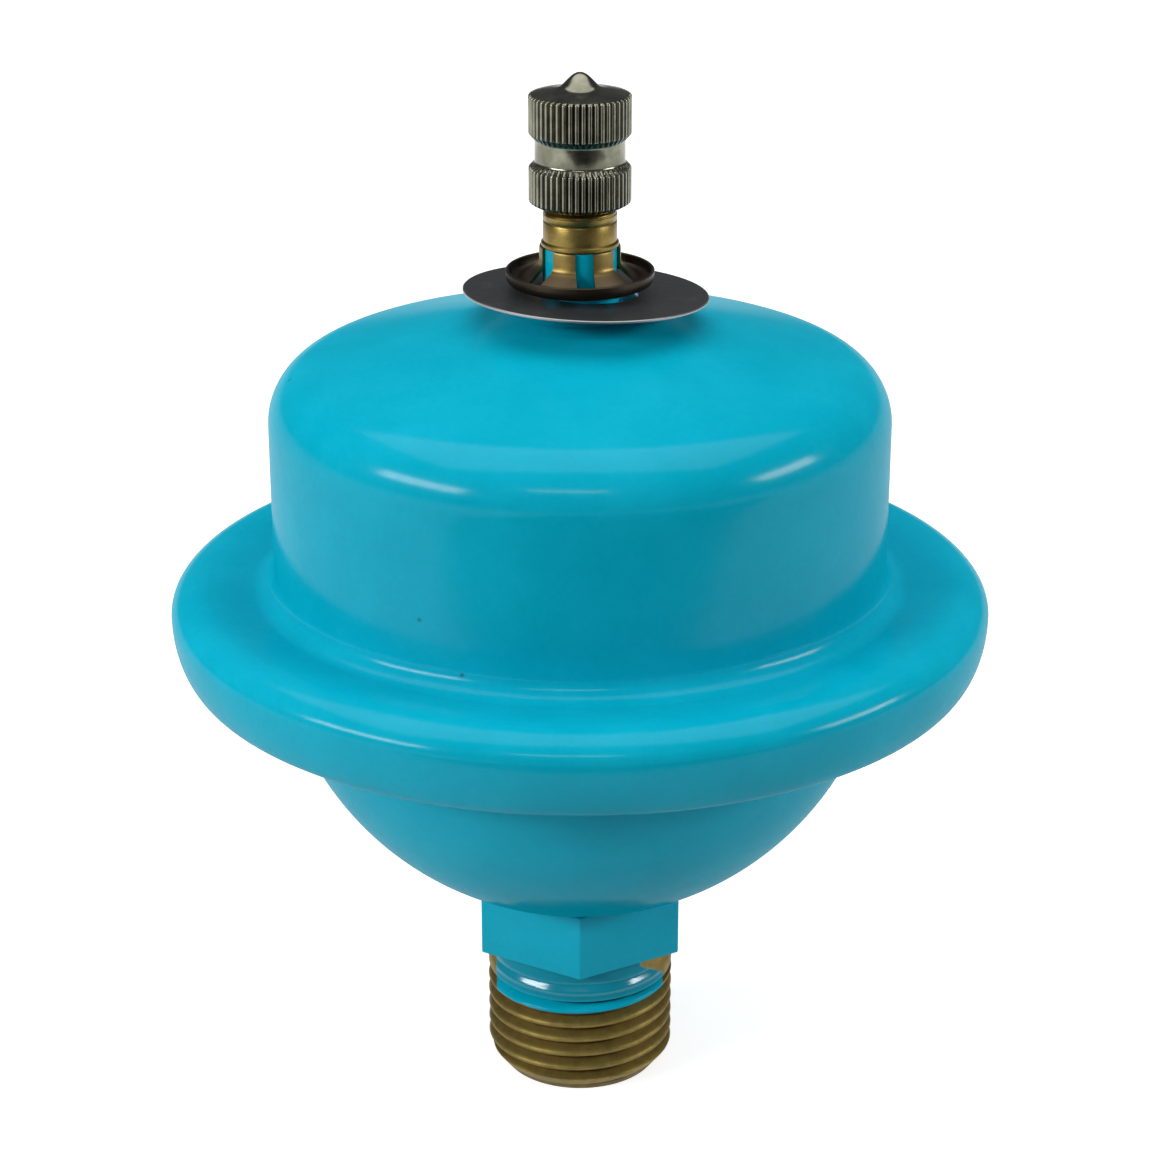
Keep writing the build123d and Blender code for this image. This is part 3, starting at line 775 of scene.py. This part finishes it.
# %% Stem finish
def make_stem_brass():
    finish = Finish("stem_brass", Specular_IOR_Level=0.0, Coat_IOR=1.5, Coat_Roughness=0.16)
    x, y, z, where = finish.place()
    r = radius_of(x, y)
    ragged = finish.noise(where, 1.6, 2.0) * 0.3
    paint = 1 - (z + ragged).step(96.33, 96.43)
    paint = paint * r.step(3.2, 3.5)
    # Painted shade: the ring groove below the stem's thread is darkened.
    ring_groove_shade = 1 - (r - 3.76).step(0.0, 0.08)
    grime_and_painted_shade = finish.noise(where, 1.1, 3.0, 0.65).step(0.4, 0.75)
    hollow_shade_and_grime = (ring_groove_shade * 0.4 + grime_and_painted_shade * 0.45).at_most(1.0)
    metal = brass_colour(finish, where, hollow_shade_and_grime)
    colour = finish.mix(paint, metal, enamel_colour(finish, where))
    rough = (0.30 + hollow_shade_and_grime * 0.2) * (1 - paint) + paint * 0.24
    lathe = finish.noise(finish.stretched(where, 0.2, 0.2, 14.0), 1.0, 2.0) * (1 - paint)
    relief = finish.bump(lathe, 0.012)
    return finish.send(
        Base_Color=colour,
        Metallic=1 - paint,
        Roughness=rough,
        Coat_Weight=paint * 0.2,
        Normal=relief,
    )


stand_for(stem, "valve_stem", "vessel", make_stem_brass())

# %% [markdown]
# A fillet of braze joins the stem's flange to the crown. It went under the spray too.

# %% Braze fillet at the valve
fillet = turned(
    "valve_braze_fillet",
    [(6.31, 89.31), (6.95, 89.31), (6.8, 89.36), (6.6, 89.46), (6.45, 89.6), (6.35, 89.85)]
    + [(6.31, 89.9), (6.31, 89.31)],
    steps=96,
    angle=60,
)
stand_for(fillet, "valve_braze_ring", "vessel", enamel)

# %% [markdown]
# The retainer is a push-on spring nut: a dished washer with an upturned lip, a cone that
# rises to the stem, and six fingers that grip it. It is spun first, and six straight slots
# are then cut with a Boolean, turned six and a half degrees from the front.

# %% Retainer
nut = turned(
    "retainer_sprung",
    [(7.8, 93.62), (7.72, 93.7), (7.53, 93.7), (7.45, 93.62), (7.42, 93.2)]
    + [(7.33, 92.87), (7.1, 92.68), (6.8, 92.6), (6.5, 92.62), (6.2, 92.78)]
    + [(5.4, 93.43), (4.7, 94.0), (4.45, 94.22), (4.32, 94.5), (4.27, 94.9)]
    + [(4.27, 96.05), (4.2, 96.25), (4.0, 96.25), (3.92, 96.05), (3.92, 94.7)]
    + [(3.98, 94.3), (4.2, 93.9), (5.2, 93.07), (6.1, 92.35), (6.6, 92.2)]
    + [(7.2, 92.24), (7.55, 92.42), (7.75, 92.75), (7.8, 93.2), (7.8, 93.62)],
    steps=144,
)
fingers = 6
first_slot = 6.5 - 90
slot_reach, slot_width, slot_height = 3.2, 1.9, 5.4
slot_r, slot_z = 4.4, 94.6
cutters = []
for i in range(fingers):
    turn = radians(first_slot + 360 / fingers * i)
    bpy.ops.object.select_all(action="DESELECT")
    bpy.ops.mesh.primitive_cube_add(
        size=1, location=(slot_r * mm * cos(turn), slot_r * mm * sin(turn), slot_z * mm)
    )
    bpy.ops.transform.resize(value=(slot_reach * mm, slot_width * mm, slot_height * mm))
    bpy.ops.object.transform_apply(location=False, rotation=False, scale=True)
    bpy.context.object.rotation_euler.z = turn
    bpy.ops.object.transform_apply(location=True, rotation=True, scale=True)
    cutters.append(bpy.context.object)
cut_away(nut, join("slots", *cutters), "slots")
smooth(nut, 35)
print("retainer", len(nut.data.polygons), "faces")


# %% Bronzed spring steel
def make_bronzed():
    finish = Finish("bronzed_steel", Metallic=1.0, IOR=1.5)
    x, y, z, where = finish.place()
    r = radius_of(x, y)
    patch = finish.noise(where, 0.7, 3.0, 0.6)
    # Painted reflection: the dish away from the stem is coloured dark, while the fingers near the
    # stem keep the golden tone.
    golden_share = (1 - r.step(4.3, 4.9)) * 0.8 + (1 - r.step(5.6, 6.6)) * 0.2
    golden_share = golden_share * (0.7 + patch.step(0.45, 0.8) * 0.3)
    colour = finish.mix(golden_share, (0.060, 0.048, 0.036, 1), (0.27, 0.19, 0.055, 1))
    rough = 0.30 + patch * 0.18
    return finish.send(Base_Color=colour, Roughness=rough)


stand_for(nut, "retainer", "vessel", make_bronzed())

# %% [markdown]
# The name plate is a thin dark disc, punched from sheet and left plain here. It lies
# loose and askew on the stem's foot, so it is spun flat, tilted, and then moved.

# %% Name plate
plate_x, plate_z = 0.63, 91.1
plate_r = 12.95
plate_fall_x, plate_rise_y = 2.3, 2.6
plate = turned(
    "name_plate_punched",
    [(5.5, -0.15), (12.85, -0.15), (plate_r, -0.08), (plate_r, 0.08), (12.87, 0.15)]
    + [(12.3, 0.15), (9.0, 0.15), (5.58, 0.15), (5.5, 0.08), (5.5, -0.15)],
    steps=160,
    angle=40,
)
normal = Vector((tan(radians(plate_fall_x)), tan(radians(plate_rise_y)), 1)).normalized()
plate.rotation_mode = "QUATERNION"
plate.rotation_quaternion = Vector((0, 0, 1)).rotation_difference(normal)
plate.location = (plate_x * mm, 0, plate_z * mm)
activate(plate)
bpy.ops.object.transform_apply(location=True, rotation=True, scale=True)


# %% Plate finish
def make_plate():
    finish = Finish("dark_plate", IOR=1.5)
    x, y, z, where = finish.place()
    dx = x - plate_x
    lift = (z - plate_z) + dx * normal.x / normal.z + y * normal.y / normal.z
    r = radius_of(dx, y)
    face = lift.step(0.09, 0.12) * (1 - r.step(12.78, 12.86))
    grain = finish.noise(where, 1.2, 3.0, 0.6)
    wear = finish.noise(where, 0.35, 3.0, 0.7).step(0.5, 0.8) * 0.25
    dark = finish.mix(wear, (0.042, 0.045, 0.047, 1), (0.16, 0.17, 0.17, 1))
    colour = finish.mix(face, (0.34, 0.35, 0.36, 1), dark)
    rough = 0.28 + grain * 0.16
    return finish.send(Base_Color=colour, Metallic=1 - face * 0.6, Roughness=rough)


stand_for(plate, "name_plate", "plate", make_plate())

# %% [markdown]
# The valve cap is nickel-plated brass with two straight-knurled rings. It is spun with
# eight steps to each knurl, and then the columns between the ridges are scaled inwards, as
# the knurling wheel presses them in. The bore is plain and clears the stem's thread.

# %% Cap
knurls = 48
columns = 8
knurled_bands = ((100.9, 104.7), (108.0, 112.12))
knurl_floor_r = 5.1
column_scales = {0: 0.975, 1: 0.981, 7: 0.981, 2: 0.992, 6: 0.992}
cap_outline = (
    [(4.15, 100.5), (4.4, 100.5), (4.5, 100.54), (5.22, 100.95), (5.31, 101.03)]
    + [(5.33, 101.15), (5.33, 101.3), (5.33, 104.3), (5.33, 104.45), (5.31, 104.57)]
    + [(5.22, 104.66)]
    + [(4.82, 105.1), (4.73, 105.2), (4.7, 105.35), (4.7, 107.3), (4.73, 107.47)]
    + [(4.82, 107.6), (5.22, 108.05), (5.31, 108.13), (5.33, 108.25), (5.33, 108.4)]
    + [(5.33, 111.75), (5.33, 111.88), (5.31, 111.99), (5.25, 112.07), (5.08, 112.15)]
    + [(4.85, 112.21), (4.4, 112.31), (3.8, 112.44), (3.3, 112.52), (2.83, 112.62)]
    + [(2.5, 112.71), (2.2, 112.82), (1.98, 112.95), (1.82, 113.1), (1.57, 113.36)]
    + [(1.22, 113.72), (0.9, 114.02), (0.65, 114.2), (0.36, 114.34), (0, 114.4)]
    + [(0, 110.2), (3.9, 110.2), (3.9, 100.75), (4.15, 100.5)]
)
cap = turned("valve_cap_knurled", cap_outline, steps=knurls * columns, angle=50)
bpy.ops.object.mode_set(mode="EDIT")
bpy.ops.mesh.select_all(action="DESELECT")
bpy.ops.object.mode_set(mode="OBJECT")
for column, scale in column_scales.items():
    for v in cap.data.vertices:
        r = hypot(v.co.x, v.co.y) / mm
        z = v.co.z / mm
        turns = atan2(v.co.y, v.co.x) / (2 * pi)
        place = round(turns * knurls * columns) % columns
        in_band = any(low < z < high for low, high in knurled_bands)
        v.select = place == column and in_band and r > knurl_floor_r
    bpy.ops.object.mode_set(mode="EDIT")
    bpy.ops.transform.resize(value=(scale, scale, 1), center_override=(0, 0, 106 * mm))
    bpy.ops.object.mode_set(mode="OBJECT")
smooth(cap, 60)
print("cap", len(cap.data.polygons), "faces,", knurls, "knurls a ring")


# %% Nickel
def make_nickel():
    finish = Finish("nickel_plate", Metallic=1.0, IOR=1.5)
    x, y, z, where = finish.place()
    r = radius_of(x, y)
    tarnish = finish.noise(where, 0.55, 3.0, 0.6)
    rings = z.step(100.9, 101.1) * (1 - z.step(104.6, 104.8))
    rings = rings + z.step(108.0, 108.15) * (1 - z.step(112.0, 112.15))
    # Painted shade: the grooves between the knurls are darkened.
    groove = (1 - r.step(5.16, 5.3)) * rings
    dull, bright = (0.155, 0.155, 0.115, 1), (0.265, 0.267, 0.205, 1)
    colour = finish.mix(tarnish.step(0.3, 0.75), dull, bright)
    # Painted shade: a band on the waist under the upper knurled ring is darkened.
    under_ring_shade = z.step(107.4, 107.6) * (1 - z.step(108.05, 108.15))
    grime_and_painted_shade = (groove * 0.35 + under_ring_shade * 0.7).at_most(1.0)
    colour = finish.mix(grime_and_painted_shade, colour, (0.060, 0.055, 0.042, 1))
    rough = 0.13 + tarnish * 0.14 + groove * 0.2
    return finish.send(Base_Color=colour, Roughness=rough)


stand_for(cap, "valve_cap", "cap", make_nickel())

# %% [markdown]
# Inside the vessel lies the rubber diaphragm. It is spun as a smooth cup. The vessel holds
# its bead, and the button carries its floor.

# %% Diaphragm
rubber_gap, rubber_t = 0.3, 1.8
cup_r = bowl_in_r - rubber_gap
cup_in_r = cup_r - rubber_t
cup = turned(
    "diaphragm_moulded",
    [(3.05, 27.12), (14.4, 27.12)]
    + arc(bowl_centre, (cup_r, cup_r), -62, -7.2, 36)
    + arc((34.28, 51.1), (2.9, 2.52), 176, 92, 8)
    + [(36.0, 53.62), (40.9, 53.62), (40.9, 57.0), (40.0, 57.95), (38.6, 58.05)]
    + [(36.9, 57.82), (35.1, 57.6), (32.2, 57.3), (29.8, 56.0)]
    + arc(bowl_centre, (cup_in_r, cup_in_r), -1, -62, 30)
    + [(13.6, 28.9), (3.05, 28.9), (3.05, 27.12)],
    steps=128,
)


def make_rubber():
    finish = Finish("black_rubber", IOR=1.5)
    x, y, z, where = finish.place()
    bloom = finish.noise(where, 0.4, 3.0, 0.6)
    colour = finish.mix(bloom, (0.012, 0.012, 0.013, 1), (0.035, 0.035, 0.037, 1))
    grain = finish.bump(finish.noise(where, 5.0, 2.0), 0.02)
    return finish.send(Base_Color=colour, Roughness=0.55 + bloom * 0.2, Normal=grain)


rubber = make_rubber()
dress(cup, "diaphragm", rubber)
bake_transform(cup)

# %% [markdown]
# The valve core's spring is a coil of hard wire, which shortens towards its seat as the pin
# is pressed. A circle is carried up the helix with the Screw modifier.

# %% Core spring
wire_r = 0.16
coil_r, coil_foot_z = 0.9, 96.46
coil_turns, coil_rise = 6, 4.9
coil_steps = 32
bpy.ops.object.select_all(action="DESELECT")
bpy.ops.mesh.primitive_circle_add(
    vertices=12, radius=wire_r * mm, location=(0, 0, 0), rotation=(pi / 2, 0, 0)
)
coil = bpy.context.object
coil.name = "core_spring_wound"
bpy.ops.object.transform_apply(location=True, rotation=True, scale=True)
bpy.ops.object.mode_set(mode="EDIT")
bpy.ops.mesh.select_all(action="SELECT")
bpy.ops.transform.translate(value=(coil_r * mm, 0, coil_foot_z * mm))
bpy.ops.object.mode_set(mode="OBJECT")
wind = coil.modifiers.new("wind", "SCREW")
wind.axis = "Z"
wind.screw_offset = coil_rise / coil_turns * mm
wind.iterations = coil_turns
wind.steps = coil_steps
wind.render_steps = coil_steps
bpy.ops.object.modifier_apply(modifier=wind.name)
bpy.ops.object.mode_set(mode="EDIT")
bpy.ops.mesh.select_all(action="DESELECT")
bpy.ops.mesh.select_non_manifold()
bpy.ops.mesh.edge_face_add()
close_mesh(40)


def make_wire():
    finish = Finish("spring_wire", Metallic=1.0, IOR=1.5)
    x, y, z, where = finish.place()
    tone = finish.noise(where, 2.0, 2.0)
    colour = finish.mix(tone, (0.34, 0.34, 0.33, 1), (0.52, 0.52, 0.51, 1))
    return finish.send(Base_Color=colour, Roughness=0.25 + tone * 0.1)


stand_for(coil, "core_spring", "vessel", make_wire())
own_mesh(coil)

# %% [markdown]
# The small inner parts keep their CAD shape, and get finishes of their own: turned brass,
# braze metal, black rubber and white plastic. The braze round the valve's foot was sprayed
# with the vessel.


# %% Finishes of the inner parts
def make_turned_brass():
    finish = Finish("turned_brass", Metallic=1.0, IOR=1.5)
    x, y, z, where = finish.place()
    grime_and_painted_shade = finish.noise(where, 0.9, 3.0, 0.6).step(0.4, 0.8)
    lathe = finish.noise(finish.stretched(where, 0.2, 0.2, 10.0), 1.0, 2.0)
    relief = finish.bump(lathe, 0.01)
    colour = brass_colour(finish, where, grime_and_painted_shade * 0.4)
    return finish.send(Base_Color=colour, Roughness=0.28 + grime_and_painted_shade * 0.2, Normal=relief)


def make_braze():
    finish = Finish("braze_metal", Metallic=1.0, IOR=1.5)
    x, y, z, where = finish.place()
    flow = finish.noise(where, 1.4, 3.0, 0.6)
    colour = finish.mix(flow, (0.34, 0.23, 0.10, 1), (0.58, 0.43, 0.22, 1))
    return finish.send(
        Base_Color=colour, Roughness=0.35 + flow * 0.2, Normal=finish.bump(flow, 0.06)
    )


def make_white_plastic():
    finish = Finish("white_plastic", IOR=1.46)
    x, y, z, where = finish.place()
    tone = finish.noise(where, 0.6, 3.0)
    colour = finish.mix(tone, (0.70, 0.70, 0.65, 1), (0.80, 0.80, 0.76, 1))
    grain = finish.bump(finish.noise(where, 6.0, 2.0), 0.012)
    return finish.send(Base_Color=colour, Roughness=0.42 + tone * 0.1, Normal=grain)


def clothe(material, *names):
    """CAD pieces that keep their mesh get a finish."""
    for name in names:
        nodes[name].data.materials.clear()
        nodes[name].data.materials.append(material)


turned_brass = make_turned_brass()
braze = make_braze()
clothe(turned_brass, "diaphragm_button", "core_plug", "core_barrel", "core_pin", "core_seat_cup")
clothe(braze, "inlet_braze_ring")
clothe(rubber, "core_barrel_seal", "core_seat_rubber", "cap_gasket")
clothe(make_white_plastic(), "inlet_grille")
